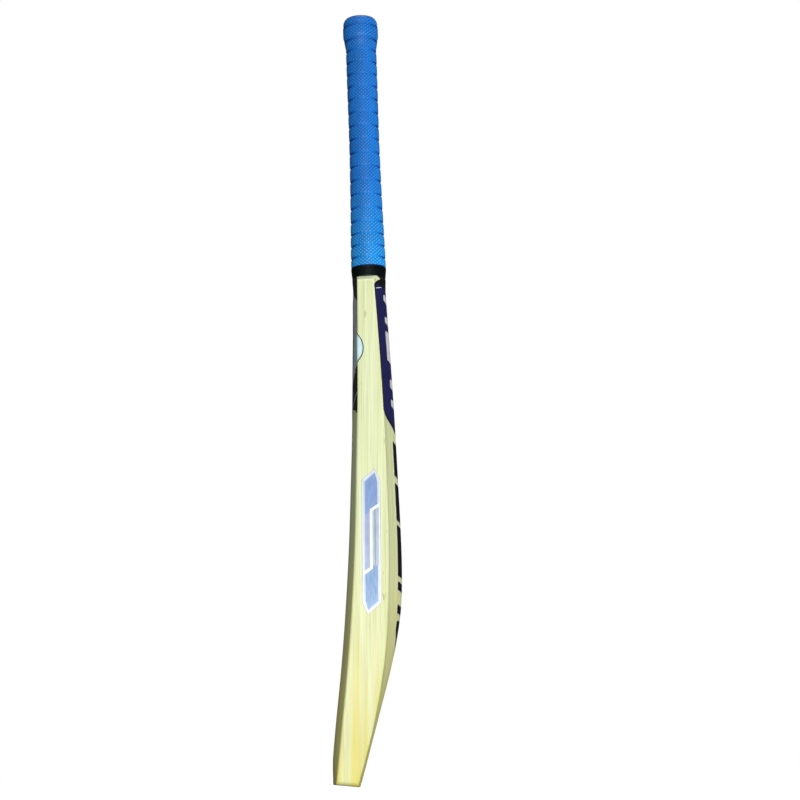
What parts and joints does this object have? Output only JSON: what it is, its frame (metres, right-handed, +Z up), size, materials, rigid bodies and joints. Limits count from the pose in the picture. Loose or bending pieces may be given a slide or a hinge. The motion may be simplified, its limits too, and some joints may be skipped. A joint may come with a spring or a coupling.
{
  "type": "cricket bat",
  "caption": "Short-handle cricket bat: a bowed willow blade with a high spine, V-spliced to a laminated cane handle with thread binding, a ribbed rubber grip and plain geometric labels.",
  "frame": {"origin": "middle of the flat toe face at the blade's lower end", "axes": "+Z up the bat from the toe to the handle; -Y the way the striking face looks, +Y the way the spine stands out; +X across the width, so the two edges are at +X and -X"},
  "size_m": [0.1092, 0.0721, 0.8525],
  "materials": {
    "willow": "pale sanded and oiled willow, straight grain along the blade",
    "cane": "bare cane with open pores on its ends",
    "spring_rubber": "matt",
    "thread": "black waxed thread, glossy",
    "grip_rubber": "satin blue rubber, ribbed and cross-hatched",
    "face_label": "glossy black film with silver-grey bands",
    "back_label": "glossy navy film with a black border and white shapes",
    "edge_label": "glossy pale blue film with white bars",
    "flank_print": "glossy black bars with cream outlines"
  },
  "bodies": {
    "root": {"blade": "willow", "cane_front_left": "cane", "cane_front_middle": "cane", "cane_front_right": "cane", "cane_front_inner_left": "cane", "cane_front_inner_middle": "cane", "cane_front_inner_right": "cane", "cane_back_inner_left": "cane", "cane_back_inner_middle": "cane", "cane_back_inner_right": "cane", "cane_back_left": "cane", "cane_back_middle": "cane", "cane_back_right": "cane", "rubber_spring_front": "spring_rubber", "rubber_spring_centre": "spring_rubber", "rubber_spring_back": "spring_rubber", "thread_binding": "thread", "grip": "grip_rubber", "face_label": "face_label", "back_label": "back_label", "flank_strip_left": "flank_print", "flank_strip_right": "flank_print", "edge_label_right": "edge_label", "edge_label_left": "edge_label"}
  },
  "joints": []
}
